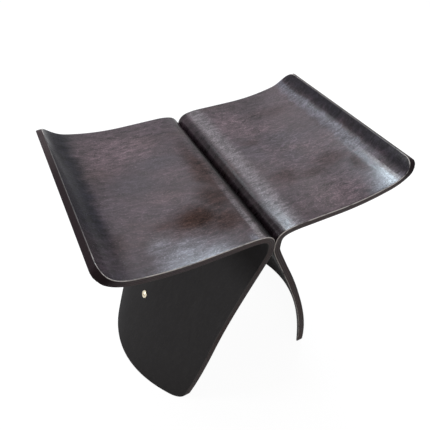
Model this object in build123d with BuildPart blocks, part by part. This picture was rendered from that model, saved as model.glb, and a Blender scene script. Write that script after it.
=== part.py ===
from build123d import *
from math import atan, cos, pi, radians, sin, sqrt
import os

# Wooden stool of two mirror-image moulded plywood shells that stand back to back.
# Each shell is half of the seat, a tight bend at the waist and one leg.
# Millimetres. X runs across the two wings, Y from front to back, Z up from the floor.

# Overall
stool_width = 425.0
stool_depth = 295.0
stool_height = 400.0
ply_thickness = 9.5
arris_radius = 1.2
meeting_gap = 0.1

# Seat wing: a tight bend up from the waist, a gentle crest, flat, a wide dish, then a tight upturn to the tip
round_over_radius = 18.0
crest_radius = 90.0
crest_angle = 14.0
dish_radius = 350.0
dish_angle = 14.0
upturn_radius = 46.0
upturn_angle = 66.0
wing_corner_radius = 20.0

# Waist, where the two shells meet
waist_flat_height = 11.5
waist_hollow_radius = 7.5

# Leg: its front and back edges spread out, and between them it bulges outward
foot_spread = 96.5
foot_bulge = 75.0
bulge_power_share = 1.25
foot_taper = 14.5
foot_taper_height = 150.0
foot_corner_radius = 20.0
leg_section_shares = (0.0, 0.01, 0.025, 0.05, 0.09, 0.15, 0.24, 0.36, 0.52, 0.68, 0.84, 1.0)

# Waist bolts
bolt_spacing = 150.0
bolt_diameter = 5.0
bolt_head_diameter = 9.5
bolt_head_height = 2.8
bolt_head_rounding = 2.0
bolt_socket_width = 3.0
bolt_socket_depth = 1.6
washer_diameter = 10.0
washer_thickness = 1.0
nut_width = 8.0
nut_hex_height = 4.0
nut_dome_diameter = 7.4
nut_bore_depth = 5.5
nut_dome_wall = 1.3

# Stretcher between the legs
stretcher_height = 126.0
rod_diameter = 10.0
screw_diameter = 4.0
screw_head_diameter = 8.0
screw_head_crown = 1.1
screw_grip = 9.0
screw_slot_width = 1.0
screw_slot_depth = 0.9
cup_diameter = 13.0
cup_height = 2.4
cup_rim = 0.8
cup_lip = 0.7

# Fits
hole_clearance = 0.25
thread_clearance = 0.05
seat_clearance = 0.1
cut_overrun = 1.0

half_width = stool_width / 2
half_depth = stool_depth / 2
meeting_x = meeting_gap / 2

# Seat profile worked out from its arcs
tip_slope = radians(upturn_angle)
dish_slope = radians(dish_angle)
dish_run = dish_radius * sin(dish_slope)
dish_rise = dish_radius * (1 - cos(dish_slope))
upturn_run = upturn_radius * (sin(tip_slope) - sin(dish_slope))
upturn_rise = upturn_radius * (cos(dish_slope) - cos(tip_slope))
seat_height = stool_height - dish_rise - upturn_rise
flat_end = half_width - dish_run - upturn_run
crest_slope = radians(crest_angle)
crest_lead = crest_radius - round_over_radius
bend_x = meeting_x + round_over_radius
bend_z = seat_height - crest_radius + crest_lead * cos(crest_slope)

# Waist and leg
leg_top = bend_z - waist_flat_height
waist_middle = bend_z - waist_flat_height / 2
waist_softness = (waist_hollow_radius + ply_thickness) * foot_spread * pi / 2 / leg_top
full_drop = sqrt(leg_top**2 + waist_softness**2) - waist_softness
foot_half = half_depth - foot_taper


def drop_share(height):
    """How far down the curved leg a height lies: 0 at its top, 1 at the floor."""
    fall = max(leg_top - height, 0.0)
    return (sqrt(fall**2 + waist_softness**2) - waist_softness) / full_drop


def bulge(height):
    """How far the leg's middle stands out past its front and back edges."""
    return foot_bulge * drop_share(height) ** bulge_power_share


def inner_reach(height, across):
    """X of the leg's inner face at a height, and a distance across from the middle of the depth."""
    spread = foot_spread * sin(drop_share(height) * pi / 2)
    return meeting_x + spread + bulge(height) * (1 - (across / half_depth) ** 2)


def slope_down(height, across):
    """How fast the inner face moves out as it comes down."""
    share = drop_share(height)
    fall = max(leg_top - height, 0.0)
    share_rate = fall / sqrt(fall**2 + waist_softness**2) / full_drop
    spread_rate = foot_spread * cos(share * pi / 2) * pi / 2
    bulge_rate = foot_bulge * bulge_power_share * share ** (bulge_power_share - 1)
    return share_rate * (spread_rate + bulge_rate * (1 - (across / half_depth) ** 2))


def outer_reach(height, across):
    """X of the leg's outer face, one ply thickness away square to the surface."""
    slope_across = 2 * bulge(height) * across / half_depth**2
    steepness = sqrt(1 + slope_down(height, across) ** 2 + slope_across**2)
    return inner_reach(height, across) + ply_thickness * steepness


def leg_section(height):
    """The leg cut level at a height: a bowed strip between two parabolas."""
    inner_edge = inner_reach(height, half_depth)
    inner_bow = 2 * inner_reach(height, 0) - inner_edge
    outer_edge = outer_reach(height, half_depth)
    outer_bow = 2 * outer_reach(height, 0) - outer_edge
    with BuildSketch(Plane.XY.offset(height)) as section:
        with BuildLine():
            inner = Bezier((inner_edge, -half_depth), (inner_bow, 0), (inner_edge, half_depth))
            outer = Bezier((outer_edge, half_depth), (outer_bow, 0), (outer_edge, -half_depth))
            Line(inner @ 1, outer @ 0)
            Line(outer @ 1, inner @ 0)
        make_face()
    return section.sketch


def seat_profile():
    """Half of the seat with the bend, from the wing's tip to the foot of the waist flat."""
    blend = dish_radius - upturn_radius
    dish_centre = (flat_end, seat_height + dish_radius)
    upturn_centre = (flat_end + blend * sin(dish_slope), dish_centre[1] - blend * cos(dish_slope))
    crest_centre = (bend_x + crest_lead * sin(crest_slope), seat_height - crest_radius)
    bend_centre = (bend_x, bend_z)

    def under(centre, radius, slope):
        return (centre[0] + radius * sin(slope), centre[1] - radius * cos(slope))

    def over(centre, radius, slope):
        return (centre[0] - radius * sin(slope), centre[1] + radius * cos(slope))

    with BuildSketch(Plane.XZ) as profile:
        with BuildLine():
            for depth in (0, ply_thickness):
                upturn = upturn_radius + depth
                dish = dish_radius + depth
                crest = crest_radius - depth
                bend = round_over_radius - depth
                ThreePointArc(under(upturn_centre, upturn, tip_slope),
                              under(upturn_centre, upturn, (tip_slope + dish_slope) / 2),
                              under(upturn_centre, upturn, dish_slope))
                ThreePointArc(under(dish_centre, dish, dish_slope),
                              under(dish_centre, dish, dish_slope / 2),
                              under(dish_centre, dish, 0))
                Line(under(dish_centre, dish, 0), over(crest_centre, crest, 0))
                ThreePointArc(over(crest_centre, crest, 0),
                              over(crest_centre, crest, crest_slope / 2),
                              over(crest_centre, crest, crest_slope))
                ThreePointArc(over(bend_centre, bend, crest_slope),
                              over(bend_centre, bend, (crest_slope + pi / 2) / 2),
                              over(bend_centre, bend, pi / 2))
                Line(over(bend_centre, bend, pi / 2), (meeting_x + depth, leg_top))
            Line(under(upturn_centre, upturn_radius, tip_slope),
                 under(upturn_centre, upturn_radius + ply_thickness, tip_slope))
            Line((meeting_x, leg_top), (meeting_x + ply_thickness, leg_top))
        make_face()
    return profile.sketch


def side_outline():
    """The shell's outline from the side: round wing corners, and a leg that draws in to round feet."""
    with BuildSketch(Plane.YZ) as outline:
        with BuildLine():
            Line((0, 0), (foot_half, 0))
            TangentArc((half_depth, foot_taper_height), (foot_half, 0), tangent=(0, -1))
            Line((half_depth, foot_taper_height), (half_depth, stool_height))
            Line((half_depth, stool_height), (0, stool_height))
            mirror(about=Plane.YZ)
        make_face()
        fillet(outline.vertices().group_by(Axis.Y)[-1], wing_corner_radius)
        fillet(outline.vertices().group_by(Axis.Y)[0], foot_corner_radius)
    return outline.sketch


def leg_frame(height):
    """Plane on the right leg's inner face at the middle of the depth, its normal out through the leg."""
    slope = atan(slope_down(height, 0))
    return Plane(origin=(inner_reach(height, 0), 0, height), x_dir=(0, 1, 0), z_dir=(cos(slope), 0, sin(slope)))


def mirrored(piece):
    """The same piece on the other side of the stool."""
    return mirror(piece, about=Plane.YZ)


# Waist bolts as seen along X, and the distance from the middle to the outside of a washer
bolt_places = [(-bolt_spacing / 2, waist_middle), (bolt_spacing / 2, waist_middle)]
bolt_grip = meeting_x + ply_thickness + washer_thickness
nut_height = nut_bore_depth + nut_dome_wall
nut_dome_height = nut_height - nut_hex_height

# Stretcher screws stand square to the leg, so each one slants down into its end of the rod
screw_slope = atan(slope_down(stretcher_height, 0))
screw_frame = leg_frame(stretcher_height)
screw_seat = screw_frame.offset(ply_thickness + seat_clearance)
screw_axis = Axis(screw_seat.origin, screw_seat.z_dir)
screw_profile_plane = Plane(origin=screw_seat.origin, x_dir=(0, 1, 0), z_dir=(sin(screw_slope), 0, -cos(screw_slope)))
screw_bore_radius = screw_diameter / 2 + hole_clearance
screw_head_radius = screw_head_diameter / 2
screw_end = -(ply_thickness + seat_clearance + screw_grip)
cup_mouth_radius = screw_head_radius + thread_clearance
rod_height = stretcher_height - screw_grip * sin(screw_slope) / 2
rod_end = screw_frame.offset(-seat_clearance)


# Right shell: half of the seat bent down through the waist into the leg, one piece of plywood
with BuildPart() as right_shell:
    extrude(seat_profile(), amount=half_depth, both=True)
    loft([leg_section(leg_top * (1 - share)) for share in leg_section_shares])
    extrude(side_outline(), amount=stool_width, both=True, mode=Mode.INTERSECT)
    flat_ends = right_shell.faces().filter_by(GeomType.PLANE).sort_by(Axis.Z)
    sides = right_shell.faces().filter_by(lambda face: abs(face.center().Y) > half_depth / 2)
    rims = ShapeList([flat_ends[0], flat_ends[-1], *sides])
    skins = ShapeList([face for face in right_shell.faces() if face not in rims])
    rim_edges = rims.edges()
    skin_edges = skins.edges()
    arrises = ShapeList([edge for edge in right_shell.edges() if edge in rim_edges and edge in skin_edges])
    fillet(arrises.sort_by(Axis.Z, reverse=True), arris_radius)
    with BuildSketch(Plane.YZ):
        with Locations(*bolt_places):
            Circle(bolt_diameter / 2 + hole_clearance)
    extrude(amount=ply_thickness + cut_overrun, mode=Mode.SUBTRACT)
    with BuildSketch(screw_frame):
        Circle(screw_bore_radius)
    extrude(amount=ply_thickness + cut_overrun, both=True, mode=Mode.SUBTRACT)

# Left shell: its mirror image
with BuildPart() as left_shell:
    add(mirrored(right_shell.part))

# Waist bolts: round heads on the left, shanks through both shells
with BuildPart() as waist_bolts:
    with BuildSketch(Plane.YZ.offset(-bolt_grip)):
        with Locations(*bolt_places):
            Circle(bolt_head_diameter / 2)
    extrude(amount=-bolt_head_height)
    fillet(waist_bolts.edges().group_by(Axis.X)[0], bolt_head_rounding)
    with BuildSketch(Plane.YZ.offset(-bolt_grip - bolt_head_height)):
        with Locations(*bolt_places):
            RegularPolygon(bolt_socket_width / 2, 6, major_radius=False)
    extrude(amount=bolt_socket_depth, mode=Mode.SUBTRACT)
    with BuildSketch(Plane.YZ.offset(-bolt_grip)):
        with Locations(*bolt_places):
            Circle(bolt_diameter / 2)
    extrude(amount=2 * bolt_grip + nut_bore_depth - hole_clearance)

# Waist washers: one under each bolt head and each nut
with BuildPart() as waist_washers:
    with BuildSketch(Plane.YZ.offset(meeting_x + ply_thickness)):
        with Locations(*bolt_places):
            Circle(washer_diameter / 2)
            Circle(bolt_diameter / 2 + hole_clearance, mode=Mode.SUBTRACT)
    extrude(amount=washer_thickness)
    add(mirrored(waist_washers.part))

# Waist cap nuts: a hexagon, and a dome that covers the end of the bolt
with BuildPart() as waist_cap_nuts:
    with BuildSketch(Plane.YZ.offset(bolt_grip)):
        with Locations(*bolt_places):
            RegularPolygon(nut_width / 2, 6, major_radius=False)
    extrude(amount=nut_hex_height)
    with BuildSketch(Plane.YZ.offset(bolt_grip + nut_hex_height)):
        with Locations(*bolt_places):
            Circle(nut_dome_diameter / 2)
    extrude(amount=nut_dome_height)
    fillet(waist_cap_nuts.edges().group_by(Axis.X)[-1], nut_dome_height - thread_clearance)
    with BuildSketch(Plane.YZ.offset(bolt_grip)):
        with Locations(*bolt_places):
            Circle(bolt_diameter / 2 + thread_clearance)
    extrude(amount=nut_bore_depth, mode=Mode.SUBTRACT)

# Stretcher rod: each end is cut to lie on its leg, and tapped square to that cut
with BuildPart() as stretcher_rod:
    with BuildSketch(Plane.YZ):
        with Locations((0, rod_height)):
            Circle(rod_diameter / 2)
    extrude(amount=half_width, both=True)
    for side in (1, -1):
        end_plane = Plane(origin=(side * rod_end.origin.X, 0, rod_end.origin.Z), x_dir=(0, 1, 0),
                          z_dir=(side * rod_end.z_dir.X, 0, rod_end.z_dir.Z))
        split(bisect_by=end_plane, keep=Keep.BOTTOM)
        with BuildSketch(end_plane):
            Circle(screw_diameter / 2 + thread_clearance)
        extrude(amount=-screw_grip - hole_clearance, mode=Mode.SUBTRACT)

# Cup washers under the stretcher screws, on the outside of each leg
with BuildPart() as stretcher_cup_washers:
    with BuildSketch(screw_profile_plane):
        with BuildLine():
            Polyline((cup_mouth_radius + cup_lip, cup_height), (cup_mouth_radius, cup_height),
                     (screw_bore_radius, cup_height - cup_mouth_radius + screw_bore_radius),
                     (screw_bore_radius, 0), (cup_diameter / 2, 0), (cup_diameter / 2, cup_rim))
            TangentArc((cup_mouth_radius + cup_lip, cup_height), (cup_diameter / 2, cup_rim), tangent=(1, 0))
        make_face()
    revolve(axis=screw_axis)
    add(mirrored(stretcher_cup_washers.part))

# Stretcher screws: slotted, with oval countersunk heads
with BuildPart() as stretcher_screws:
    with BuildSketch(screw_profile_plane):
        with BuildLine():
            TangentArc((0, cup_height + screw_head_crown), (screw_head_radius, cup_height), tangent=(1, 0))
            Polyline((screw_head_radius, cup_height),
                     (screw_diameter / 2, cup_height - screw_head_radius + screw_diameter / 2),
                     (screw_diameter / 2, screw_end), (0, screw_end), (0, cup_height + screw_head_crown))
        make_face()
    revolve(axis=screw_axis)
    with BuildSketch(screw_seat.offset(cup_height + screw_head_crown)):
        Rectangle(screw_head_diameter + cut_overrun, screw_slot_width)
    extrude(amount=-screw_head_crown - screw_slot_depth, mode=Mode.SUBTRACT)
    add(mirrored(stretcher_screws.part))

pieces = {
    "right_shell": right_shell,
    "left_shell": left_shell,
    "waist_bolts": waist_bolts,
    "waist_washers": waist_washers,
    "waist_cap_nuts": waist_cap_nuts,
    "stretcher_rod": stretcher_rod,
    "stretcher_cup_washers": stretcher_cup_washers,
    "stretcher_screws": stretcher_screws,
}
os.makedirs("parts", exist_ok=True)
for name, piece in pieces.items():
    piece.part.label = name
    export_step(piece.part, f"parts/{name}.step")
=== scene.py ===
from collections import namedtuple
from math import acos, atan2, cos, pi, radians, sin, sqrt

import bmesh
import bpy
from mathutils import Matrix, Vector


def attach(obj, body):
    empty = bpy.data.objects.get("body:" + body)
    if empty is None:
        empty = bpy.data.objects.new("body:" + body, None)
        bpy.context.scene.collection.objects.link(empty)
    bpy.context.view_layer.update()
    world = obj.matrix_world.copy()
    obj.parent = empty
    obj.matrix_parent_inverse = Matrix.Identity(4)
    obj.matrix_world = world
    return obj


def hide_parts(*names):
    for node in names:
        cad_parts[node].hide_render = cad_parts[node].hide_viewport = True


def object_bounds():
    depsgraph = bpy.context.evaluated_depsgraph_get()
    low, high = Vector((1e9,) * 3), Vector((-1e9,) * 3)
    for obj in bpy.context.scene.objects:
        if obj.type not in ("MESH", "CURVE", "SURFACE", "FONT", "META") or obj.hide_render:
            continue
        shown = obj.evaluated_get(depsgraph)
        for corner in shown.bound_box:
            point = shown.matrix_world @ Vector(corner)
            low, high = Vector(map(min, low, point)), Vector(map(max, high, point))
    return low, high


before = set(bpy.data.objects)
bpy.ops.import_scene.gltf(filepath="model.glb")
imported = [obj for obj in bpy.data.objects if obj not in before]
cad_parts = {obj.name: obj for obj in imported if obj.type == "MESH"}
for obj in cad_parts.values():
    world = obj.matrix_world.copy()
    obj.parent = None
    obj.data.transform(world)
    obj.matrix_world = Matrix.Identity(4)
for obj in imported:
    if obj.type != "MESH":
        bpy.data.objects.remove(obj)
cad_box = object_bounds()

# Low stool of two mirror-image moulded plywood shells. Metres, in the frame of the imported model:
# X runs across the two wings, Y from front to back, Z up from the floor.
SHELL_SIDES = {"right_shell": 1, "left_shell": -1}

# One face of a shell, a place on its leaf of veneer, and the grain there
Face = namedtuple("Face", "depth places points")
Leaf = namedtuple("Leaf", "sheet along across depth on_left leg")
Grain = namedtuple("Grain", "streaks mottle flecks pores tone")

# Shell sizes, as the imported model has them
STOOL_WIDTH = 0.425
STOOL_DEPTH = 0.295
STOOL_HEIGHT = 0.400
PLY_THICKNESS = 0.0095
ARRIS_RADIUS = 0.0012
MEETING_GAP = 0.0001
ROUND_OVER_RADIUS = 0.018
CREST_RADIUS = 0.090
CREST_ANGLE = 14.0
DISH_RADIUS = 0.350
DISH_ANGLE = 14.0
UPTURN_RADIUS = 0.046
UPTURN_ANGLE = 66.0
WING_CORNER_RADIUS = 0.020
WAIST_FLAT_HEIGHT = 0.0115
WAIST_HOLLOW_RADIUS = 0.0075
FOOT_SPREAD = 0.0965
FOOT_BULGE = 0.075
BULGE_POWER = 1.25
FOOT_TAPER = 0.0145
FOOT_TAPER_HEIGHT = 0.150
FOOT_CORNER_RADIUS = 0.020

# Mesh steps, from the tip of the wing to the foot, then across and round the edge
CORNER_STEPS = 6
UPTURN_STEPS = 7
DISH_STEPS = 16
FLAT_STEPS = 14
CREST_STEPS = 10
BEND_STEPS = 20
WAIST_STEPS = 3
LEG_STEPS = 60
ACROSS_STEPS = 40
ARRIS_STEPS = 4
EDGE_STEPS = 6
PROFILE_STEP = 0.0005
EASE_SAMPLES = 14
EASE_REACH = 0.007
CREST_LEAD = 0.012
LEG_CROWDING = 1.35
CORNER_EASE = 0.045
CORNER_COLUMNS_SHARE = 0.98
ARRIS_LIMIT_SHARE = 0.4
ARRIS_WEAR_FLOOR = 0.35
SHADING_WEIGHT = 60

# Places of the three finishes among a shell's materials
UPPER_FACE = 0
UNDER_FACE = 1
CUT_EDGE = 2

# The shells are veneered from two stretches of one sheet, so their grain differs
LEFT_LEAF_SHIFT = 1.7

# Camera, fitted to the photo: the focal length and the optical centre are in pixels of its frame
FRAME_PIXELS = 430
FOCAL_PIXELS = 433.9
CENTRE_PIXEL_X = 204.93
CENTRE_PIXEL_Y = 193.66
SENSOR_WIDTH = 36.0
CAMERA_PLACE = (-0.2480, -0.4227, 0.7401)
CAMERA_YAW = 28.14
CAMERA_PITCH = 41.55
CAMERA_ROLL = 2.19

# Lamps: direction from the seat, width and height, power, colour
LAMP_TARGET = Vector((0.0, 0.0, 0.36))
LAMP_DISTANCE = 2.2
LAMPS = {
    "key_lamp": ((0.126, 0.387, 0.914), (0.36, 0.26), 13.5, (0.76, 0.90, 1.0)),
    "east_lamp": ((0.318, 0.397, 0.861), (0.44, 0.26), 10.5, (0.76, 0.90, 1.0)),
    "fill_lamp": ((0.260, 0.644, 0.719), (1.4, 0.8), 7.2, (1.0, 0.91, 0.96)),
    "top_lamp": ((-0.061, 0.434, 0.899), (0.50, 0.26), 9.5, (0.93, 0.96, 1.0)),
    "strip_lamp": ((-0.240, 0.600, 0.763), (0.75, 0.50), 7.0, (0.90, 0.95, 1.0)),
    "side_lamp": ((0.679, 0.476, 0.559), (0.50, 0.50), 2.0, (1.0, 0.94, 0.93)),
    "front_lamp": ((-0.290, -0.890, 0.350), (0.8, 0.6), 6.0, (1.0, 0.96, 0.95)),
    "left_lamp": ((-0.875, 0.270, 0.402), (0.50, 0.50), 12.5, (0.95, 0.97, 1.0)),
}

# Surroundings and floor
WHITE = (1.0, 1.0, 1.0, 1.0)
AMBIENT_COLOUR = (1.0, 0.99, 0.98, 1.0)
AMBIENT_STRENGTH = 0.15
FLOOR_REACH = 60.0
FLOOR_GLOW = 0.95
FLOOR_SEEN = (0.14, 0.14, 0.14, 1.0)
FLOOR_BOUNCE = (0.40, 0.40, 0.40, 1.0)

# Noise patterns: scale along, across and through the sheet, detail, roughness
WANDER_NOISE = ((7.0, 9.0, 0.0), 2.0, 0.5)
CURL_NOISE = ((24.0, 30.0, 0.0), 2.0, 0.5)
SWIRL_NOISE = ((11.0, 13.0, 5.0), 1.0, 0.5)
STREAK_NOISE = ((18.0, 300.0, 0.0), 3.0, 0.6)
MOTTLE_NOISE = ((64.0, 130.0, 0.0), 4.0, 0.65)
FLECK_NOISE = ((400.0, 560.0, 0.0), 2.0, 0.65)
FIGURE_NOISE = ((42.0, 150.0, 7.0), 2.0, 0.5)
CLOUD_NOISE = ((20.0, 44.0, 3.0), 3.0, 0.55)
PORE_NOISE = ((150.0, 2300.0, 0.0), 1.0, 0.5)
PATCH_NOISE = ((9.0, 11.0, 0.0), 3.0, 0.55)
WARMTH_NOISE = ((7.0, 16.0, 3.0), 3.0, 0.55)
RAGGED_NOISE = ((22.0, 40.0, 9.0), 3.0, 0.6)
FEATHER_NOISE = ((24.0, 260.0, 4.0), 3.0, 0.6)
FIBRE_NOISE = ((420.0, 420.0, 60.0), 2.0, 0.6)
FADE_NOISE = ((15.0, 15.0, 1.0), 2.0, 0.5)
WEAR_NOISE = ((34.0, 34.0, 0.0), 3.0, 0.65)
TARNISH_NOISE = ((260.0, 260.0, 260.0), 3.0, 0.6)
SCRATCH_NOISE = ((300.0, 2600.0, 2600.0), 2.0, 0.6)

# Grain. A ramp is where it starts and ends and, where that isn't 0 and 1, its value at its start and end.
GRAIN_WANDER = 0.020
GRAIN_CURL_RAMP = (0.50, 0.66, 0.005, 0.016)
STREAK_TONE_RAMP = (0.28, 0.72, -0.10, 0.10)
MOTTLE_TONE_RAMP = (0.30, 0.70, -0.34, 0.34)
CLOUD_TONE_RAMP = (0.30, 0.70, -0.16, 0.16)
PORE_RAMP = (0.60, 0.70)
# GLINT_RAMP and GLINT_TONE lighten the colour where the flecks are high: partly pale flecks of the wood,
# partly painted glints
GLINT_RAMP = (0.52, 0.72)
FIGURE_LINE_RAMP = (0.045, 0.0)
BASE_TONE = 0.66
GLINT_TONE = 1.3
FIGURE_TONE = 0.55
PORE_TONE = 0.12
UNDER_TONE_SHARE = 0.12

# Gloss and relief
UPPER_SPECULAR = 0.25
UPPER_ROUGHNESS = 0.21
UNDER_SPECULAR = 0.01
UNDER_ROUGHNESS = 0.55
EDGE_SPECULAR = 0.06
EDGE_ROUGHNESS = 0.48
MOTTLE_GLOSS_RAMP = (0.30, 0.70, -0.04, 0.05)
STREAK_GLOSS_RAMP = (0.30, 0.70, -0.03, 0.03)
LEG_ROUGHENING = 0.25
RUBBED_ROUGHENING = 0.12
STREAK_RELIEF = 0.20
FLECK_RELIEF = 0.45
MOTTLE_RELIEF = 0.20
PORE_RELIEF = -0.15
GLUE_LINE_RELIEF = -0.8
GRAIN_BUMP = 0.5
GRAIN_DEPTH = 0.00018

# Stain colours, painted highlights and painted shades, and how far each dulls the lacquer over it: below 0 the
# lacquer shines more
STAIN_DARK = (0.036, 0.022, 0.028, 1.0)
STAIN_MIDDLE = (0.058, 0.037, 0.046, 1.0)
STAIN_WARM = (0.062, 0.033, 0.031, 1.0)
STAIN_COOL = (0.034, 0.028, 0.038, 1.0)
# brown stain patch of the left leaf; the same colour also paints shade at the left wing and on the right dish
BROWN_STAIN_AND_SHADE = (0.045, 0.0235, 0.0185, 1.0)
STAIN_ROSE = (0.092, 0.058, 0.068, 1.0)
# painted sheen: a pale blue-grey colour standing in for the lamps' reflection on the left seat's front, the
# crests' front ends and the right dish's front corner
PAINTED_SHEEN = (0.125, 0.122, 0.146, 1.0)
# painted highlight along both crests beside the groove
PAINTED_CREST_HIGHLIGHT = (0.126, 0.106, 0.114, 1.0)
# painted highlight along the right dish, where the lamps' reflection falls
PAINTED_DISH_HIGHLIGHT = (0.098, 0.088, 0.108, 1.0)
# painted shade on both upturned wings, standing in for the dark surroundings they reflect
PAINTED_WING_SHADE = (0.013, 0.013, 0.019, 1.0)
# painted shade in the groove where the two shells meet
PAINTED_GROOVE_SHADE = (0.006, 0.005, 0.005, 1.0)
STAIN_UNDER = (0.058, 0.055, 0.055, 1.0)
# painted shade on the upper face where it runs down the inner side of the legs
PAINTED_INNER_LEG_SHADE = (0.005, 0.004, 0.004, 1.0)
BROWN_DULLING = 0.90
SHEEN_DULLING = -0.65
RIGHT_WING_DULLING = 0.25
LEFT_WING_DULLING = 0.75
GROOVE_DULLING = 0.7
LEG_DULLING = 0.97

# Where the stains, painted highlights and painted shades lie: ramps of their noise, ramps and bands of the
# distance from the wing's tip, and ramps of the place across. A band is where it starts, is full, begins to
# fade and ends.
PATCH_RAMP = (0.36, 0.64)
WARM_RAMP = (0.50, 0.72, 0.0, 0.6)
COOL_RAMP = (0.48, 0.28, 0.0, 0.5)
# bands of the painted highlight along the crests
RIGHT_CREST_BAND = (0.176, 0.197, 0.203, 0.212)
LEFT_CREST_BAND = (0.198, 0.202, 0.206, 0.211)
LEFT_CREST_ACROSS = (0.00, -0.13, 0.10, 1.0)
# band of the painted highlight along the right dish, fading out towards the front
RIGHT_DISH_BAND = (0.018, 0.024, 0.030, 0.041)
RIGHT_DISH_ACROSS = (-0.110, -0.050)
# ramps of the painted shade on the wings
RIGHT_WING_RAMP = (0.026, 0.008, 0.0, 0.78)
LEFT_WING_RAMP = (0.052, 0.030, 0.0, 0.9)
LEFT_WING_ACROSS = (-0.145, -0.040, 0.40, 1.0)
# ramps of the painted shade in the groove, lighter on the right shell and towards the back
GROOVE_RAMP = (0.206, 0.217)
GROOVE_ACROSS = (0.060, 0.135, 1.0, 0.55)
RIGHT_GROOVE_SHARE = 0.60
# where the leg starts: it places the painted inner-leg shade and roughens the lacquer there
LEG_RAMP = (0.234, 0.244)

# Blotches of stain and of painted sheen and shade: place along and across the leaf, reach along and across,
# strength
BLOTCH_RAGGEDNESS = 0.024
BLOTCH_FEATHERS = 0.010
BLOTCH_CORE_SHARE = 0.15
SWIRL_SPOT = (0.112, -0.010, 0.075, 0.080, 0.8)
BROWN_STAIN_AND_SHADE_BLOTCHES = (
    (LEFT_LEAF_SHIFT + 0.149, -0.085, 0.062, 0.036, 1.0),
    (LEFT_LEAF_SHIFT + 0.179, -0.100, 0.046, 0.040, 0.85),
    (LEFT_LEAF_SHIFT + 0.184, -0.060, 0.036, 0.045, 0.80),
    (LEFT_LEAF_SHIFT + 0.165, -0.092, 0.070, 0.045, 0.75),
    (LEFT_LEAF_SHIFT + 0.184, -0.136, 0.024, 0.028, 0.35),
    (LEFT_LEAF_SHIFT + 0.194, 0.000, 0.026, 0.100, 0.75),
    (LEFT_LEAF_SHIFT + 0.114, -0.082, 0.034, 0.014, 0.6),
    (0.084, 0.087, 0.060, 0.020, 0.3),
    # painted shade dimming the highlight on the right dish
    (0.048, -0.085, 0.016, 0.036, 0.60),
    # painted shade at the front of the left wing
    (LEFT_LEAF_SHIFT + 0.044, -0.096, 0.016, 0.030, 0.35),
    # painted shade at the back of the left wing's tip
    (LEFT_LEAF_SHIFT + 0.018, 0.110, 0.022, 0.080, 0.75),
    (0.159, 0.027, 0.024, 0.012, 0.4),
    (0.154, -0.060, 0.034, 0.022, 0.5),
    (0.074, -0.058, 0.046, 0.024, 0.5),
    (0.114, -0.070, 0.042, 0.018, 0.4),
)
ROSE_BLOTCHES = (
    (0.106, -0.122, 0.072, 0.050, 1.0),
    (0.119, 0.050, 0.050, 0.024, 0.6),
    (0.160, 0.080, 0.056, 0.070, 1.0),
    (LEFT_LEAF_SHIFT + 0.098, 0.088, 0.086, 0.066, 1.0),
    (LEFT_LEAF_SHIFT + 0.139, -0.048, 0.050, 0.030, 0.25),
    (LEFT_LEAF_SHIFT + 0.152, 0.006, 0.036, 0.024, 0.4),
)
COOL_BLOTCHES = (
    (LEFT_LEAF_SHIFT + 0.099, 0.004, 0.056, 0.032, 0.6),
    (LEFT_LEAF_SHIFT + 0.139, 0.042, 0.048, 0.022, 0.6),
    (0.119, -0.025, 0.036, 0.024, 0.5),
    (0.108, 0.014, 0.050, 0.040, 0.5),
    (0.170, 0.000, 0.036, 0.070, 0.5),
)
# spots of painted sheen, where the lacquer also shines more
PAINTED_SHEEN_SPOTS = (
    (LEFT_LEAF_SHIFT + 0.108, -0.142, 0.046, 0.040, 1.0),
    (LEFT_LEAF_SHIFT + 0.138, -0.150, 0.036, 0.026, 0.9),
    (LEFT_LEAF_SHIFT + 0.199, -0.146, 0.012, 0.020, 0.9),
    (LEFT_LEAF_SHIFT + 0.088, -0.112, 0.022, 0.022, 0.5),
    (0.046, -0.150, 0.036, 0.050, 1.0),
    (0.205, -0.128, 0.014, 0.050, 0.6),
)

# Cut edge: colours of its plies, then ramps of the depth, of noise and of the distance from the wing's tip
PLY_COUNT = 7
EDGE_LONG_PLY = (0.165, 0.142, 0.142, 1.0)
EDGE_CROSS_PLY = (0.112, 0.092, 0.090, 1.0)
EDGE_BROWN = (0.125, 0.086, 0.078, 1.0)
EDGE_DARK = (0.022, 0.018, 0.018, 1.0)
EDGE_SEAT_TONE = (0.92, 0.88, 0.90, 1.0)
EDGE_STAIN = (0.0150, 0.0085, 0.0100, 1.0)
GLUE_LINE_RAMP = (0.34, 0.47)
GLUE_LINE_DARKNESS = 0.7
CROSS_PLY_RAMP = (0.48, 0.52)
FADE_RAMP = (0.42, 0.62, 0.0, 0.55)
FIBRE_RAMP = (0.35, 0.70, 0.0, 0.5)
EDGE_BELOW_SEAT_RAMP = (0.130, 0.205)
EDGE_STAIN_RAMP = (0.045, 0.012)
EDGE_STAIN_ACROSS = (0.110, 0.010, 0.55, 1.0)
EDGE_DEPTH_BAND = (0.05, 0.10, 0.90, 0.95)
UNDER_DEPTH_RAMP = (0.90, 1.0)

# Arrises rubbed down to the bare wood
WORN_WOOD = (0.74, 0.67, 0.62, 1.0)
WORN_SHARE = 0.9
WORN_RAMP = (0.45, 0.9)
WORN_PATCH_RAMP = (0.32, 0.52)
WORN_DEPTH_RAMP = (0.55, 0.30, 0.10, 1.0)
WORN_ON_TIPS = 0.15
HANDLED_FROM_SHARE = 0.72
HANDLED_TO_SHARE = 0.97

# Brass
BRASS_BRIGHT = (0.78, 0.70, 0.54, 1.0)
BRASS_DULL = (0.38, 0.31, 0.21, 1.0)
TARNISH_RAMP = (0.42, 0.68, 0.0, 0.7)
TARNISH_GLOSS_RAMP = (0.35, 0.70, 0.22, 0.42)
SCRATCH_GLOSS_RAMP = (0.3, 0.7, -0.05, 0.05)
SCRATCH_BUMP = 0.4
SCRATCH_DEPTH = 0.00005

half_width = STOOL_WIDTH / 2
half_depth = STOOL_DEPTH / 2
meeting_x = MEETING_GAP / 2

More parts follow.
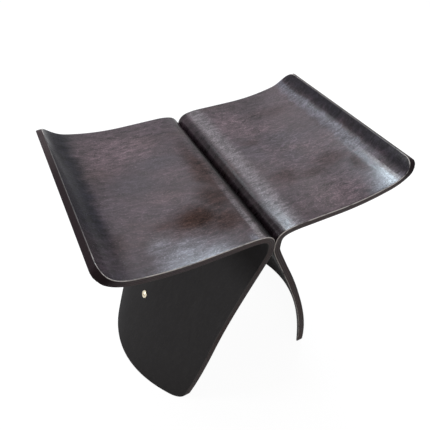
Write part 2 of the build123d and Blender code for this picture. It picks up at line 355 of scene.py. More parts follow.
# Seat profile, from the tip of the wing to the waist
tip_slope = radians(UPTURN_ANGLE)
dish_slope = radians(DISH_ANGLE)
crest_slope = radians(CREST_ANGLE)
dish_run = DISH_RADIUS * sin(dish_slope)
dish_rise = DISH_RADIUS * (1 - cos(dish_slope))
upturn_run = UPTURN_RADIUS * (sin(tip_slope) - sin(dish_slope))
upturn_rise = UPTURN_RADIUS * (cos(dish_slope) - cos(tip_slope))
crest_run = CREST_RADIUS * sin(crest_slope)
crest_drop = CREST_RADIUS * (1 - cos(crest_slope))
bend_run = ROUND_OVER_RADIUS * (1 - sin(crest_slope))
bend_drop = ROUND_OVER_RADIUS * cos(crest_slope)
seat_height = STOOL_HEIGHT - dish_rise - upturn_rise
flat_end = half_width - dish_run - upturn_run
flat_length = flat_end - meeting_x - bend_run - crest_run
bend_z = seat_height - crest_drop - bend_drop
leg_top = bend_z - WAIST_FLAT_HEIGHT
waist_softness = (WAIST_HOLLOW_RADIUS + PLY_THICKNESS) * FOOT_SPREAD * pi / 2 / leg_top
full_drop = sqrt(leg_top**2 + waist_softness**2) - waist_softness

# Places along the shell's upper face, measured from the tip
upturn_end = UPTURN_RADIUS * (tip_slope - dish_slope)
dish_end = upturn_end + DISH_RADIUS * dish_slope
crest_start = dish_end + flat_length
bend_start = crest_start + CREST_RADIUS * crest_slope
bend_end = bend_start + ROUND_OVER_RADIUS * (pi / 2 - crest_slope)
leg_start = bend_end + WAIST_FLAT_HEIGHT

# Outline of the shell as seen from the side
wing_corner_across = half_depth - WING_CORNER_RADIUS
wing_corner_height = STOOL_HEIGHT - WING_CORNER_RADIUS
taper_radius = (FOOT_TAPER_HEIGHT**2 + FOOT_TAPER**2) / (2 * FOOT_TAPER)
taper_centre_across = half_depth - taper_radius
foot_corner_across = taper_centre_across + sqrt((taper_radius - FOOT_CORNER_RADIUS)**2
                                                - (FOOT_TAPER_HEIGHT - FOOT_CORNER_RADIUS)**2)
foot_corner_start = atan2(FOOT_CORNER_RADIUS - FOOT_TAPER_HEIGHT, foot_corner_across - taper_centre_across)


def drop_share(height):
    """How far down the curved leg a height lies: 0 at its top, 1 at the floor."""
    fall = max(leg_top - height, 0.0)
    return (sqrt(fall**2 + waist_softness**2) - waist_softness) / full_drop


def bulge(height):
    """How far the leg's middle stands out past its front and back edges."""
    return FOOT_BULGE * drop_share(height) ** BULGE_POWER


def inner_reach(height, across):
    """X of the leg's inner face."""
    spread = FOOT_SPREAD * sin(drop_share(height) * pi / 2)
    return meeting_x + spread + bulge(height) * (1 - (across / half_depth) ** 2)


def slope_down(height, across):
    """How fast the inner face moves out as it comes down."""
    share = drop_share(height)
    fall = max(leg_top - height, 0.0)
    share_rate = fall / sqrt(fall**2 + waist_softness**2) / full_drop
    spread_rate = FOOT_SPREAD * cos(share * pi / 2) * pi / 2
    bulge_rate = FOOT_BULGE * BULGE_POWER * share ** (BULGE_POWER - 1)
    return share_rate * (spread_rate + bulge_rate * (1 - (across / half_depth) ** 2))


def outer_reach(height, across):
    """X of the leg's outer face."""
    slope_across = 2 * bulge(height) * across / half_depth**2
    steepness = sqrt(1 + slope_down(height, across) ** 2 + slope_across**2)
    return inner_reach(height, across) + PLY_THICKNESS * steepness


def slope_at(along):
    """Slope of the seat's upper face: up to the wing's tip, down over the crest to upright at the waist."""
    if along < upturn_end:
        return tip_slope - along / UPTURN_RADIUS
    if along < dish_end:
        return (dish_end - along) / DISH_RADIUS
    if along < crest_start:
        return 0.0
    if along < bend_start:
        return (along - crest_start) / CREST_RADIUS
    return min(crest_slope + (along - bend_start) / ROUND_OVER_RADIUS, pi / 2)


def eased_slope(along):
    """Slope with its changes of curvature spread over a short stretch, as the bent plies take them."""
    samples = [along + EASE_REACH * (2 * (step + 0.5) / EASE_SAMPLES - 1) for step in range(EASE_SAMPLES)]
    raw = [slope_at(place) if place > 0 else 2 * slope_at(0.0) - slope_at(-place) for place in samples]
    return sum(raw) / EASE_SAMPLES


def profile_table():
    """(step, [(x, z, slope), ...]) of the upper face at even steps from the tip to the top of the leg."""
    count = round(leg_start / PROFILE_STEP)
    step = leg_start / count
    x, z = half_width, STOOL_HEIGHT
    table = [(x, z, eased_slope(0.0))]
    for index in range(count):
        middle = eased_slope((index + 0.5) * step)
        x -= step * cos(middle)
        z -= step * sin(middle)
        table.append((x, z, eased_slope((index + 1) * step)))
    off_x = meeting_x - x
    off_z = leg_top - z
    return step, [(x + off_x * index / count, z + off_z * index / count, slope)
                  for index, (x, z, slope) in enumerate(table)]


profile_step, profile = profile_table()


def surface(along, across, depth):
    """Point of the right shell's upper face (depth 0) or lower face (depth of the ply)."""
    if along < leg_start:
        place = max(along, 0.0) / profile_step
        index = min(int(place), len(profile) - 2)
        share = place - index
        x, z, slope = (first + (second - first) * share
                       for first, second in zip(profile[index], profile[index + 1]))
        return Vector((x + depth * sin(slope), across, z - depth * cos(slope)))
    height = leg_top - along + leg_start
    reach = outer_reach if depth else inner_reach
    return Vector((reach(height, across), across, height))


def along_wing(height, depth):
    """Where on the upturned wing a height lies."""
    place = 0.0
    while surface(place, 0.0, depth).z > height:
        place += PROFILE_STEP
    if place == 0.0:
        return place
    low = surface(place, 0.0, depth).z
    high = surface(place - PROFILE_STEP, 0.0, depth).z
    return place - PROFILE_STEP * (height - low) / (high - low)


def along_leg(height):
    """Where on the leg a height lies."""
    return leg_start + leg_top - height


def steps(start, end, count, crowding=1.0):
    """Places from start to end, without the start; crowding over 1 brings the first ones together."""
    return [start + (end - start) * (step / count) ** crowding for step in range(1, count + 1)]


def wing_corner_rows(depth):
    """(along, half width) of each row, from the middle of the wing's corner to the end of its turn."""
    tip_height = STOOL_HEIGHT - depth * cos(tip_slope)
    corner_top = acos(min((tip_height - wing_corner_height) / WING_CORNER_RADIUS, 1.0))
    middle = (corner_top + pi / 2) / 2
    rows = []
    for turn in [middle] + steps(middle, pi / 2, CORNER_STEPS):
        height = wing_corner_height + WING_CORNER_RADIUS * cos(turn)
        rows.append((along_wing(height, depth), wing_corner_across + WING_CORNER_RADIUS * sin(turn)))
    return rows


def leg_rows():
    """(along, half width) of each row, from the top of the leg to the middle of the foot's corner."""
    rows = []
    corner_height = FOOT_CORNER_RADIUS * (1 + sin(foot_corner_start))
    for height in steps(leg_top, corner_height, LEG_STEPS, LEG_CROWDING):
        inset = taper_radius - sqrt(taper_radius**2 - max(FOOT_TAPER_HEIGHT - height, 0.0) ** 2)
        rows.append((along_leg(height), half_depth - inset))
    for turn in steps(foot_corner_start, (foot_corner_start - pi / 2) / 2, CORNER_STEPS):
        height = FOOT_CORNER_RADIUS * (1 + sin(turn))
        rows.append((along_leg(height), foot_corner_across + FOOT_CORNER_RADIUS * cos(turn)))
    return rows


def side_rows(depth):
    """(along, half width) of each row, from the middle of the wing's corner to the middle of the foot's."""
    rows = wing_corner_rows(depth)
    places = steps(rows[-1][0], upturn_end, UPTURN_STEPS)
    places += steps(upturn_end, dish_end, DISH_STEPS)
    places += steps(dish_end, crest_start - CREST_LEAD, FLAT_STEPS)
    places += steps(crest_start - CREST_LEAD, bend_start, CREST_STEPS)
    places += steps(bend_start, bend_end, BEND_STEPS)
    places += steps(bend_end, leg_start, WAIST_STEPS)
    return rows + [(place, half_depth) for place in places] + leg_rows()


def tip_along(across, depth):
    """Where the outline runs over the wing's tip."""
    past = max(abs(across) - wing_corner_across, 0.0)
    corner = wing_corner_height + sqrt(max(WING_CORNER_RADIUS**2 - past**2, 0.0))
    return along_wing(min(corner, STOOL_HEIGHT - depth * cos(tip_slope)), depth)


def foot_along(across):
    """Where the outline runs along the foot."""
    past = max(abs(across) - foot_corner_across, 0.0)
    return along_leg(FOOT_CORNER_RADIUS - sqrt(max(FOOT_CORNER_RADIUS**2 - past**2, 0.0)))


def across_shares():
    """Columns from -1 to 1: closer together where the corners turn."""
    corner_share = 1 - wing_corner_across / half_depth * CORNER_COLUMNS_SHARE
    edge = [1 - corner_share * (1 - step / CORNER_STEPS) for step in range(CORNER_STEPS)]
    middle = [edge[0] * (2 * step / ACROSS_STEPS - 1) for step in range(1, ACROSS_STEPS)]
    return [-1.0] + [-share for share in reversed(edge)] + middle + edge + [1.0]


def face_places(depth):
    """(along, across) of each point on one face of the shell, row by row."""
    rows = side_rows(depth)
    first, first_half = rows[0]
    last, last_half = rows[-1]
    places = []
    for along, half in rows:
        tip_ease = max(1 - (along - first) / CORNER_EASE, 0.0) ** 2
        foot_ease = max(1 - (last - along) / CORNER_EASE, 0.0) ** 2
        row = []
        for share in across_shares():
            shift = tip_ease * (tip_along(first_half * share, depth) - first)
            shift += foot_ease * (foot_along(last_half * share) - last)
            row.append((along + shift, half * share))
        places.append(row)
    return places


def shell_face(depth):
    """Places and points of the upper face (depth 0) or the lower one (depth of the ply)."""
    places = face_places(depth)
    return Face(depth, places, [[surface(*place, depth) for place in row] for row in places])


def rim(rows):
    """(row, column) of the points round the outline, in order."""
    last_row = len(rows) - 1
    last_column = len(rows[0]) - 1
    loop = [(0, column) for column in range(last_column)]
    loop += [(row, last_column) for row in range(last_row)]
    loop += [(last_row, column) for column in range(last_column, 0, -1)]
    return loop + [(row, 0) for row in range(last_row, 0, -1)]


def outward_directions(points, loop):
    """Directions in the face that are square to its outline and point out of it."""
    outline = [points[row][column] for row, column in loop]
    directions = []
    for index, (row, column) in enumerate(loop):
        run = outline[(index + 1) % len(loop)] - outline[index - 1]
        inner_row = min(max(row, 1), len(points) - 2)
        inner_column = min(max(column, 1), len(points[0]) - 2)
        inward = points[inner_row][inner_column] - outline[index]
        inward -= run * (inward.dot(run) / run.dot(run))
        directions.append(-inward.normalized())
    return directions


def arris_arc(corner, out, into, width):
    """Rounded arris from a face, which meets its corner along out, to the edge, which leaves it along into."""
    half_angle = acos(max(min(-out.dot(into), 1.0), -1.0)) / 2
    reach = min(ARRIS_RADIUS * cos(half_angle) / sin(half_angle), ARRIS_LIMIT_SHARE * width)
    start, end = corner - out * reach, corner + into * reach
    weight = sin(half_angle)
    arc = []
    for step in range(ARRIS_STEPS + 1):
        share = step / ARRIS_STEPS
        parts = ((1 - share) ** 2, 2 * weight * share * (1 - share), share**2)
        arc.append((start * parts[0] + corner * parts[1] + end * parts[2]) / sum(parts))
    return arc


def edge_section(upper, lower, out_upper, out_lower):
    """(point, share of the depth) from the upper arris over the cut edge to the end of the lower arris."""
    across_ply = (lower - upper).normalized()
    width = (lower - upper).length
    first = arris_arc(upper, out_upper, across_ply, width)
    last = arris_arc(lower, out_lower, -across_ply, width)[::-1]
    between = [first[-1].lerp(last[0], step / EDGE_STEPS) for step in range(1, EDGE_STEPS)]
    return [(point, min(max((point - upper).dot(across_ply) / width, 0.0), 1.0))
            for point in first + between + last]


def edge_wear(step):
    """How far a point of the edge's section is worn: 1 in the middle of either arris."""
    last = 2 * ARRIS_STEPS + EDGE_STEPS
    from_arris = min(abs(step - ARRIS_STEPS / 2), abs(last - step - ARRIS_STEPS / 2))
    return max(1 - from_arris / ARRIS_STEPS, 0.0)


class ShellMesh:
    """Mesh of a shell: each point keeps its place on the unrolled sheet and the wear of its arris."""

    def __init__(self, side):
        self.side = side
        self.mesh = bmesh.new()
        self.sheet = self.mesh.verts.layers.float_vector.new("sheet")
        self.wear = self.mesh.verts.layers.float.new("wear")

    def vertex(self, point, place, worn):
        """Adds a point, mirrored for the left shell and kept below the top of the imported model."""
        made = self.mesh.verts.new((self.side * point.x, point.y, min(point.z, cad_box[1][2])))
        made[self.sheet] = place
        made[self.wear] = worn
        return made

    def add_leaf(self, face, rim_points, finish):
        """Adds the upper or lower face, whose rim stands back to where its arris starts."""
        leaf_shift = 0.0 if self.side > 0 else LEFT_LEAF_SHIFT
        verts = []
        for row, line in enumerate(face.places):
            made = []
            for column, (along, across) in enumerate(line):
                on_rim = (row, column) in rim_points
                point = rim_points[row, column] if on_rim else face.points[row][column]
                place = (along + leaf_shift, across, face.depth / PLY_THICKNESS)
                made.append(self.vertex(point, place, ARRIS_WEAR_FLOOR if on_rim else 0.0))
            verts.append(made)
        for upper, lower in zip(verts, verts[1:]):
            for column in range(len(upper) - 1):
                corners = (upper[column], upper[column + 1], lower[column + 1], lower[column])
                self.mesh.faces.new(corners).material_index = finish
        return verts

    def add_edge(self, ends, sections):
        """Adds both arrises and the cut edge; ends are the rim's points on the upper and the lower face."""
        lines = []
        for (upper, lower), section in zip(ends, sections):
            line = [upper]
            for step, (point, share) in enumerate(section[1:-1], 1):
                place = upper[self.sheet].lerp(lower[self.sheet], share)
                line.append(self.vertex(point, place, edge_wear(step)))
            lines.append(line + [lower])
        for index, second in enumerate(lines):
            first = lines[index - 1]
            for step in range(len(first) - 1):
                corners = (first[step], second[step], second[step + 1], first[step + 1])
                finish = UPPER_FACE if step < ARRIS_STEPS else CUT_EDGE
                self.mesh.faces.new(corners).material_index = finish

    def finished(self, name):
        """Mesh data with its faces turned outwards and shaded smooth."""
        bmesh.ops.recalc_face_normals(self.mesh, faces=self.mesh.faces)
        data = bpy.data.meshes.new(name)
        self.mesh.to_mesh(data)
        self.mesh.free()
        data.shade_smooth()
        return data


def make_shell(name, side):
    """One moulded shell with rounded arrises; side is 1 for the right one and -1 for its mirror image."""
    upper = shell_face(0.0)
    lower = shell_face(PLY_THICKNESS)
    loop = rim(upper.places)
    outward = zip(outward_directions(upper.points, loop), outward_directions(lower.points, loop))
    sections = [edge_section(upper.points[row][column], lower.points[row][column], *directions)
                for (row, column), directions in zip(loop, outward)]
    shell = ShellMesh(side)
    upper_rim = {place: section[0][0] for place, section in zip(loop, sections)}
    lower_rim = {place: section[-1][0] for place, section in zip(loop, sections)}
    upper_verts = shell.add_leaf(upper, upper_rim, UPPER_FACE)
    lower_verts = shell.add_leaf(lower, lower_rim, UNDER_FACE)
    shell.add_edge([(upper_verts[row][column], lower_verts[row][column]) for row, column in loop], sections)
    made = bpy.data.objects.new(name, shell.finished(name))
    bpy.context.scene.collection.objects.link(made)
    weighted = made.modifiers.new("even_shading", "WEIGHTED_NORMAL")
    weighted.mode = "FACE_AREA"
    weighted.weight = SHADING_WEIGHT
    return made


class Graph:
    """Short ways to add nodes to the tree of a material or the world and to join them."""

    def __init__(self, owner, output="ShaderNodeOutputMaterial"):
        owner.use_nodes = True
        self.tree = owner.node_tree
        self.tree.nodes.clear()
        self.output = self.tree.nodes.new(output)

    def node(self, kind, inputs=(), **settings):
        """Adds a node; inputs maps a socket's name or number to a value or to another node's socket."""
        made = self.tree.nodes.new(kind)
        for key, value in settings.items():
            setattr(made, key, value)
        for key, value in dict(inputs).items():
            if isinstance(value, bpy.types.NodeSocket):
                self.tree.links.new(value, made.inputs[key])
            else:
                made.inputs[key].default_value = value
        return made

    def finish(self, shader):
        """Joins a shader to the output."""
        self.tree.links.new(shader.outputs[0], self.output.inputs["Surface"])

    def math(self, operation, first, second=0.0):
        return self.node("ShaderNodeMath", {0: first, 1: second}, operation=operation).outputs[0]

    def total(self, first, *others):
        for other in others:
            first = self.math("ADD", first, other)
        return first

    def product(self, first, *others):
        for other in others:
            first = self.math("MULTIPLY", first, other)
        return first

    def rest(self, share):
        """What a share leaves of 1."""
        return self.math("SUBTRACT", 1.0, share)

    def centred(self, value):
        """A noise or a fraction, measured from its middle."""
        return self.math("SUBTRACT", value, 0.5)

    def ramp(self, value, low, high, start=0.0, end=1.0):
        """Smooth step of value from low to high, as start to end."""
        keys = {"Value": value, "From Min": low, "From Max": high, "To Min": start, "To Max": end}
        return self.node("ShaderNodeMapRange", keys, interpolation_type="SMOOTHSTEP").outputs["Result"]

    def band(self, value, start, full, fade, end):
        """1 between full and fade, 0 outside start and end."""
        return self.product(self.ramp(value, start, full), self.ramp(value, end, fade))

    def vector(self, operation, first, second):
        return self.node("ShaderNodeVectorMath", {0: first, 1: second}, operation=operation).outputs[0]

    def split(self, vector):
        return self.node("ShaderNodeSeparateXYZ", {0: vector}).outputs

    def noise(self, place, pattern):
        scale, detail, roughness = pattern
        keys = {"Vector": self.vector("MULTIPLY", place, scale), "Scale": 1.0, "Detail": detail,
                "Roughness": roughness}
        return self.node("ShaderNodeTexNoise", keys).outputs["Fac"]

    def mix(self, share, first, second, blend="MIX"):
        """Colour between first and second."""
        made = self.node("ShaderNodeMix", {0: share, 6: first, 7: second}, data_type="RGBA", blend_type=blend)
        return made.outputs[2]

    def shaded(self, colour, tone):
        """Colour times a tone."""
        grey = self.node("ShaderNodeCombineColor", {0: tone, 1: tone, 2: tone}).outputs[0]
        return self.mix(1.0, colour, grey, "MULTIPLY")

    def bump(self, height, strength, distance):
        keys = {"Strength": strength, "Distance": distance, "Height": height}
        return self.node("ShaderNodeBump", keys).outputs[0]


def leaf_along(graph, sheet):
    """(distance from the leaf's wing tip, 1 on the left leaf)."""
    along = graph.split(sheet)["X"]
    on_left = graph.math("GREATER_THAN", along, LEFT_LEAF_SHIFT / 2)
    return graph.math("SUBTRACT", along, graph.product(on_left, LEFT_LEAF_SHIFT)), on_left


def read_leaf(graph):
    """Where a point lies: on the sheet, and on its leaf along from the tip, across and down the plies."""
    sheet = graph.node("ShaderNodeAttribute", attribute_name="sheet").outputs["Vector"]
    along, on_left = leaf_along(graph, sheet)
    parts = graph.split(sheet)
    return Leaf(sheet, along, parts["Y"], parts["Z"], on_left, graph.ramp(along, *LEG_RAMP))


def grain_place(graph, sheet):
    """Place on the sheet, with the slow wander and the tighter curl of the grain across it."""
    wander = graph.product(graph.centred(graph.noise(sheet, WANDER_NOISE)), GRAIN_WANDER)
    curl = graph.product(graph.centred(graph.noise(sheet, CURL_NOISE)),
                         graph.ramp(graph.noise(sheet, SWIRL_NOISE), *GRAIN_CURL_RAMP))
    shift = graph.node("ShaderNodeCombineXYZ", {"Y": graph.total(wander, curl)}).outputs[0]
    return graph.vector("ADD", sheet, shift)


def ragged_place(graph, sheet):
    """Place on the sheet, shifted so that the borders of a stain or a painted mark are ragged and feathered.
    """
    ragged = graph.product(graph.centred(graph.noise(sheet, RAGGED_NOISE)), BLOTCH_RAGGEDNESS)
    feathers = graph.product(graph.centred(graph.noise(sheet, FEATHER_NOISE)), BLOTCH_FEATHERS)
    shift = graph.node("ShaderNodeCombineXYZ", {"X": graph.total(ragged, feathers), "Y": ragged}).outputs[0]
    return graph.vector("ADD", sheet, shift)


def spot(graph, place, blotch):
    """Soft blotch: its strength in its middle, 0 outside its reach."""
    along, across, reach_along, reach_across, strength = blotch
    offset = graph.vector("SUBTRACT", place, (along, across, 0.0))
    shares = graph.vector("MULTIPLY", offset, (1 / reach_along, 1 / reach_across, 0.0))
    distance = graph.node("ShaderNodeVectorMath", {0: shares}, operation="LENGTH").outputs["Value"]
    return graph.ramp(distance, 1.0, BLOTCH_CORE_SHARE, 0.0, strength)


def blotches(graph, place, values):
    """Cover of several soft blotches together."""
    cover = spot(graph, place, values[0])
    for blotch in values[1:]:
        cover = graph.math("MAXIMUM", cover, spot(graph, place, blotch))
    return cover


def figure(graph, place):
    """Fine wavy lines of the veneer's figure, strongest in the swirl."""
    lines = graph.math("ABSOLUTE", graph.centred(graph.noise(place, FIGURE_NOISE)))
    strength = graph.total(spot(graph, place, SWIRL_SPOT), FIGURE_TONE)
    return graph.product(graph.ramp(lines, *FIGURE_LINE_RAMP), strength)


def read_grain(graph, sheet):
    """Streaks, mottle, flecks and pores of the veneer, and the tone that they give its stain; the flecks'
    share is partly pale wood flecks, partly painted glints.
    """
    place = grain_place(graph, sheet)
    streaks = graph.noise(place, STREAK_NOISE)
    mottle = graph.noise(place, MOTTLE_NOISE)
    flecks = graph.noise(place, FLECK_NOISE)
    pores = graph.ramp(graph.noise(place, PORE_NOISE), *PORE_RAMP)
    tone = graph.total(
        graph.ramp(streaks, *STREAK_TONE_RAMP),
        graph.ramp(mottle, *MOTTLE_TONE_RAMP),
        BASE_TONE,
        # pale wood flecks and painted glints
        graph.product(graph.ramp(flecks, *GLINT_RAMP), GLINT_TONE),
        figure(graph, place),
        graph.ramp(graph.noise(place, CLOUD_NOISE), *CLOUD_TONE_RAMP),
    )
    tone = graph.product(tone, graph.rest(graph.product(pores, PORE_TONE)))
    return Grain(streaks, mottle, flecks, pores, tone)


def stain_and_painted_light_layers(graph, leaf):
    """(cover, colour, dulling) of each stain, painted highlight and painted shade over the ground colour, in
    the order in which they lie.
    """
    place = ragged_place(graph, leaf.sheet)
    along = leaf_along(graph, place)[0]
    across = graph.split(place)["Y"]
    on_right = graph.rest(leaf.on_left)
    # painted highlight along the crests beside the groove
    right_crest_highlight = graph.product(graph.band(leaf.along, *RIGHT_CREST_BAND), on_right)
    left_crest_highlight = graph.product(graph.band(leaf.along, *LEFT_CREST_BAND), leaf.on_left,
                               graph.ramp(across, *LEFT_CREST_ACROSS))
    # painted highlight along the right dish
    right_dish_highlight = graph.product(graph.band(along, *RIGHT_DISH_BAND), on_right,
                               graph.ramp(across, *RIGHT_DISH_ACROSS))
    # painted shade on the upturned wings
    right_wing_shade = graph.product(graph.ramp(along, *RIGHT_WING_RAMP), on_right)
    left_wing_shade = graph.product(graph.ramp(along, *LEFT_WING_RAMP), leaf.on_left,
                              graph.ramp(across, *LEFT_WING_ACROSS))
    # painted shade in the groove between the shells
    groove_shade = graph.product(graph.ramp(leaf.along, *GROOVE_RAMP),
                           graph.ramp(leaf.on_left, 0.0, 1.0, RIGHT_GROOVE_SHARE, 1.0),
                           graph.ramp(across, *GROOVE_ACROSS))
    return (
        (blotches(graph, place, ROSE_BLOTCHES), STAIN_ROSE, 0.0),
        (blotches(graph, place, COOL_BLOTCHES), STAIN_COOL, 0.0),
        # brown stain, and painted shade where three of its blotches lie
        (blotches(graph, place, BROWN_STAIN_AND_SHADE_BLOTCHES), BROWN_STAIN_AND_SHADE, BROWN_DULLING),
        # painted sheen
        (blotches(graph, place, PAINTED_SHEEN_SPOTS), PAINTED_SHEEN, SHEEN_DULLING),
        (right_crest_highlight, PAINTED_CREST_HIGHLIGHT, 0.0),
        (left_crest_highlight, PAINTED_CREST_HIGHLIGHT, 0.0),
        (right_dish_highlight, PAINTED_DISH_HIGHLIGHT, 0.0),
        (right_wing_shade, PAINTED_WING_SHADE, RIGHT_WING_DULLING),
        (left_wing_shade, PAINTED_WING_SHADE, LEFT_WING_DULLING),
        (groove_shade, PAINTED_GROOVE_SHADE, GROOVE_DULLING),
        # painted shade on the inner side of the legs
        (leaf.leg, PAINTED_INNER_LEG_SHADE, LEG_DULLING),
    )


def stained(graph, leaf, layers):
    """Colour of the stained leaf, with its painted highlights and shades, before its grain."""
    warmth = graph.noise(leaf.sheet, WARMTH_NOISE)
    patches = graph.ramp(graph.noise(leaf.sheet, PATCH_NOISE), *PATCH_RAMP)
    colour = graph.mix(patches, STAIN_DARK, STAIN_MIDDLE)
    colour = graph.mix(graph.ramp(warmth, *WARM_RAMP), colour, STAIN_WARM)
    colour = graph.mix(graph.ramp(warmth, *COOL_RAMP), colour, STAIN_COOL)
    for cover, stain, _ in layers:
        colour = graph.mix(cover, colour, stain)
    return colour


def dulled(graph, specular, layers):
    """Specular level under the stains and the painted highlights and shades: those with a dulling below 0
    raise it.
    """
    for cover, _, dulling in layers:
        if dulling:
            specular = graph.product(specular, graph.rest(graph.product(cover, dulling)))
    return specular


def ply_edge(graph, leaf):
    """(colour, glue lines) of the cut edge: long and cross plies, stained red-brown near the wing's tip."""
    layer = graph.math("FRACT", graph.product(leaf.depth, PLY_COUNT))
    glue_line = graph.ramp(graph.math("ABSOLUTE", graph.centred(layer)), *GLUE_LINE_RAMP)
    pair = graph.math("FRACT", graph.product(leaf.depth, PLY_COUNT / 2))
    plies = graph.mix(graph.ramp(pair, *CROSS_PLY_RAMP), EDGE_LONG_PLY, EDGE_CROSS_PLY)
    plies = graph.mix(graph.ramp(graph.noise(leaf.sheet, FADE_NOISE), *FADE_RAMP), plies, EDGE_BROWN)
    plies = graph.mix(graph.ramp(graph.noise(leaf.sheet, FIBRE_NOISE), *FIBRE_RAMP), plies, EDGE_DARK)
    plies = graph.mix(graph.product(glue_line, GLUE_LINE_DARKNESS), plies, EDGE_DARK)
    below_seat = graph.ramp(leaf.along, *EDGE_BELOW_SEAT_RAMP)
    plies = graph.mix(below_seat, graph.mix(1.0, plies, EDGE_SEAT_TONE, "MULTIPLY"), plies)
    stain_cover = graph.product(graph.ramp(leaf.along, *EDGE_STAIN_RAMP),
                                graph.ramp(leaf.across, *EDGE_STAIN_ACROSS))
    return graph.mix(stain_cover, plies, EDGE_STAIN), glue_line


def rubbed_arris(graph, leaf):
    """How far the finish is rubbed off an arris: most along the front and back and round the corners."""
    wear = graph.node("ShaderNodeAttribute", attribute_name="wear").outputs["Fac"]
    handled = graph.ramp(graph.math("ABSOLUTE", leaf.across), half_depth * HANDLED_FROM_SHARE,
                         half_depth * HANDLED_TO_SHARE, WORN_ON_TIPS, 1.0)
    return graph.product(graph.ramp(wear, *WORN_RAMP),
                         graph.ramp(graph.noise(leaf.sheet, WEAR_NOISE), *WORN_PATCH_RAMP),
                         graph.ramp(leaf.depth, *WORN_DEPTH_RAMP), handled)


def under_colour(graph, grain):
    """Even dark stain of the undersides, with a faint grain."""
    tone = graph.total(graph.product(grain.tone, UNDER_TONE_SHARE), 1 - UNDER_TONE_SHARE)
    return graph.shaded(STAIN_UNDER, tone)


def lacquer(graph, leaf, grain, look, roughened=(), raised=()):
    """Joins up a finish, given as (colour, specular, roughness), whose gloss and relief follow the grain."""
    colour, specular, roughness = look
    gloss = graph.total(
        roughness,
        graph.ramp(grain.mottle, *MOTTLE_GLOSS_RAMP),
        graph.ramp(grain.streaks, *STREAK_GLOSS_RAMP),
        graph.product(leaf.leg, LEG_ROUGHENING),
        *roughened,
    )
    height = graph.total(
        graph.product(grain.streaks, STREAK_RELIEF),
        graph.product(grain.flecks, FLECK_RELIEF),
        graph.product(grain.mottle, MOTTLE_RELIEF),
        graph.product(grain.pores, PORE_RELIEF),
        *raised,
    )
    graph.finish(graph.node("ShaderNodeBsdfPrincipled", {
        "Base Color": colour, "Specular IOR Level": specular, "Roughness": gloss,
        "Normal": graph.bump(height, GRAIN_BUMP, GRAIN_DEPTH)}))


def veneer(name, specular, roughness, dulled_by_stain_and_painted_light):
    """Stained veneer down to its cut edge: mottled face with painted highlights and shades, dark layered
    plies, arrises rubbed pale.
    """
    material = bpy.data.materials.new(name)
    graph = Graph(material)
    leaf = read_leaf(graph)
    grain = read_grain(graph, leaf.sheet)
    layers = stain_and_painted_light_layers(graph, leaf)
    upper = graph.shaded(stained(graph, leaf, layers), grain.tone)
    colour = graph.mix(graph.ramp(leaf.depth, *UNDER_DEPTH_RAMP), upper, under_colour(graph, grain))
    plies, glue_line = ply_edge(graph, leaf)
    on_edge = graph.band(leaf.depth, *EDGE_DEPTH_BAND)
    colour = graph.mix(on_edge, colour, plies)
    rubbed = rubbed_arris(graph, leaf)
    colour = graph.mix(graph.product(rubbed, WORN_SHARE), colour, WORN_WOOD)
    if dulled_by_stain_and_painted_light:
        specular = dulled(graph, specular, layers)
    lacquer(graph, leaf, grain, (colour, specular, roughness),
            roughened=[graph.product(rubbed, RUBBED_ROUGHENING)],
            raised=[graph.product(glue_line, on_edge, GLUE_LINE_RELIEF)])
    return material


def under_veneer(name, specular, roughness):
    """Plain dull veneer of the undersides."""
    material = bpy.data.materials.new(name)
    graph = Graph(material)
    leaf = read_leaf(graph)
    grain = read_grain(graph, leaf.sheet)
    lacquer(graph, leaf, grain, (under_colour(graph, grain), specular, roughness))
    return material


def brass(name):
    """Turned brass with fine scratches, duller and browner in patches."""
    material = bpy.data.materials.new(name)
    graph = Graph(material)
    place = graph.node("ShaderNodeTexCoord").outputs["Object"]
    tarnish = graph.noise(place, TARNISH_NOISE)
    scratches = graph.noise(place, SCRATCH_NOISE)
    gloss = graph.total(graph.ramp(tarnish, *TARNISH_GLOSS_RAMP), graph.ramp(scratches, *SCRATCH_GLOSS_RAMP))
    graph.finish(graph.node("ShaderNodeBsdfPrincipled", {
        "Base Color": graph.mix(graph.ramp(tarnish, *TARNISH_RAMP), BRASS_BRIGHT, BRASS_DULL),
        "Metallic": 1.0, "Roughness": gloss,
        "Normal": graph.bump(scratches, SCRATCH_BUMP, SCRATCH_DEPTH)}))
    return material


def seen_directly(graph):
    """1 for the camera's own rays and for what gloss and glass show."""
    rays = graph.node("ShaderNodeLightPath").outputs
    return graph.math("MAXIMUM", graph.math("MAXIMUM", rays["Is Camera Ray"], rays["Is Glossy Ray"]),
                      rays["Is Transmission Ray"])


def floor_material():
    """Near white to look at, softer to light the stool, and able to take its shadow."""
    material = bpy.data.materials.new("pale_floor")
    graph = Graph(material)
    glow = graph.node("ShaderNodeEmission", {"Color": WHITE, "Strength": FLOOR_GLOW})
    shadowed = graph.node("ShaderNodeBsdfDiffuse", {"Color": FLOOR_SEEN})
    looked_at = graph.node("ShaderNodeAddShader", {0: glow.outputs[0], 1: shadowed.outputs[0]})
    bounced = graph.node("ShaderNodeBsdfDiffuse", {"Color": FLOOR_BOUNCE})
    graph.finish(graph.node("ShaderNodeMixShader", {
        0: seen_directly(graph), 1: bounced.outputs[0], 2: looked_at.outputs[0]}))
    return material


def place_floor():
    """Wide level floor with the stool's shadow on it."""
    data = bpy.data.meshes.new("floor")
    corners = [(x * FLOOR_REACH, y * FLOOR_REACH, 0.0) for x, y in ((-1, -1), (1, -1), (1, 1), (-1, 1))]
    data.from_pydata(corners, [], [(0, 1, 2, 3)])
    data.materials.append(floor_material())
    floor = bpy.data.objects.new("floor", data)
    bpy.context.scene.collection.objects.link(floor)


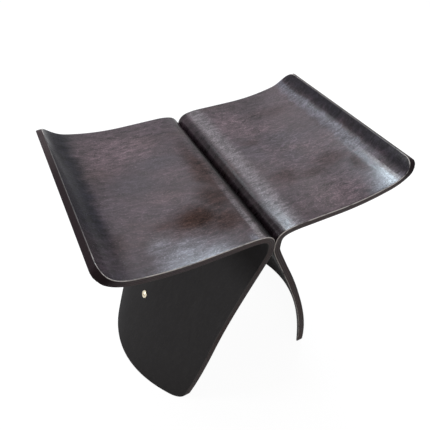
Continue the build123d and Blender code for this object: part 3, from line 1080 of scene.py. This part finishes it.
def place_world():
    """White surroundings, at full strength to look at and softer as light."""
    world = bpy.data.worlds.new("surroundings")
    bpy.context.scene.world = world
    graph = Graph(world, "ShaderNodeOutputWorld")
    ambient = graph.node("ShaderNodeBackground", {"Color": AMBIENT_COLOUR, "Strength": AMBIENT_STRENGTH})
    white = graph.node("ShaderNodeBackground", {"Color": WHITE, "Strength": 1.0})
    graph.finish(graph.node("ShaderNodeMixShader", {
        0: seen_directly(graph), 1: ambient.outputs[0], 2: white.outputs[0]}))


def place_lamp(name, direction, size, power, colour):
    """Rectangular lamp that faces the seat."""
    data = bpy.data.lights.new(name, "AREA")
    data.shape = "RECTANGLE"
    data.size, data.size_y = size
    data.energy = power
    data.color = colour
    lamp = bpy.data.objects.new(name, data)
    toward = Vector(direction).normalized()
    lamp.location = LAMP_TARGET + toward * LAMP_DISTANCE
    lamp.rotation_euler = toward.to_track_quat("Z", "Y").to_euler()
    bpy.context.scene.collection.objects.link(lamp)


def place_camera():
    """Camera at the photo's viewing angle."""
    data = bpy.data.cameras.new("camera")
    data.sensor_width = SENSOR_WIDTH
    data.lens = SENSOR_WIDTH * FOCAL_PIXELS / FRAME_PIXELS
    data.shift_x = 0.5 - CENTRE_PIXEL_X / FRAME_PIXELS
    data.shift_y = CENTRE_PIXEL_Y / FRAME_PIXELS - 0.5
    yaw, pitch, roll = radians(CAMERA_YAW), radians(CAMERA_PITCH), radians(CAMERA_ROLL)
    look = Vector((sin(yaw) * cos(pitch), cos(yaw) * cos(pitch), -sin(pitch)))
    level = Vector((cos(yaw), -sin(yaw), 0.0))
    rise = level.cross(look)
    right = level * cos(roll) + rise * sin(roll)
    up = rise * cos(roll) - level * sin(roll)
    camera = bpy.data.objects.new("camera", data)
    camera.matrix_world = Matrix.Translation(CAMERA_PLACE) @ Matrix((right, up, -look)).transposed().to_4x4()
    bpy.context.scene.collection.objects.link(camera)
    bpy.context.scene.camera = camera


bpy.context.scene.view_settings.view_transform = "Standard"
place_camera()
place_world()
place_floor()
for lamp_name, lamp_values in LAMPS.items():
    place_lamp(lamp_name, *lamp_values)

shell_materials = (veneer("lacquered_veneer", UPPER_SPECULAR, UPPER_ROUGHNESS, True),
                   under_veneer("under_veneer", UNDER_SPECULAR, UNDER_ROUGHNESS),
                   veneer("sealed_ply_edge", EDGE_SPECULAR, EDGE_ROUGHNESS, False))
for node, side in SHELL_SIDES.items():
    shell = make_shell(node + "_veneer", side)
    for material in shell_materials:
        shell.data.materials.append(material)
    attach(shell, "root")
    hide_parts(node)

brass_material = brass("turned_brass")
for node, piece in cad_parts.items():
    if node not in SHELL_SIDES:
        for material_slot in piece.material_slots:
            material_slot.material = brass_material
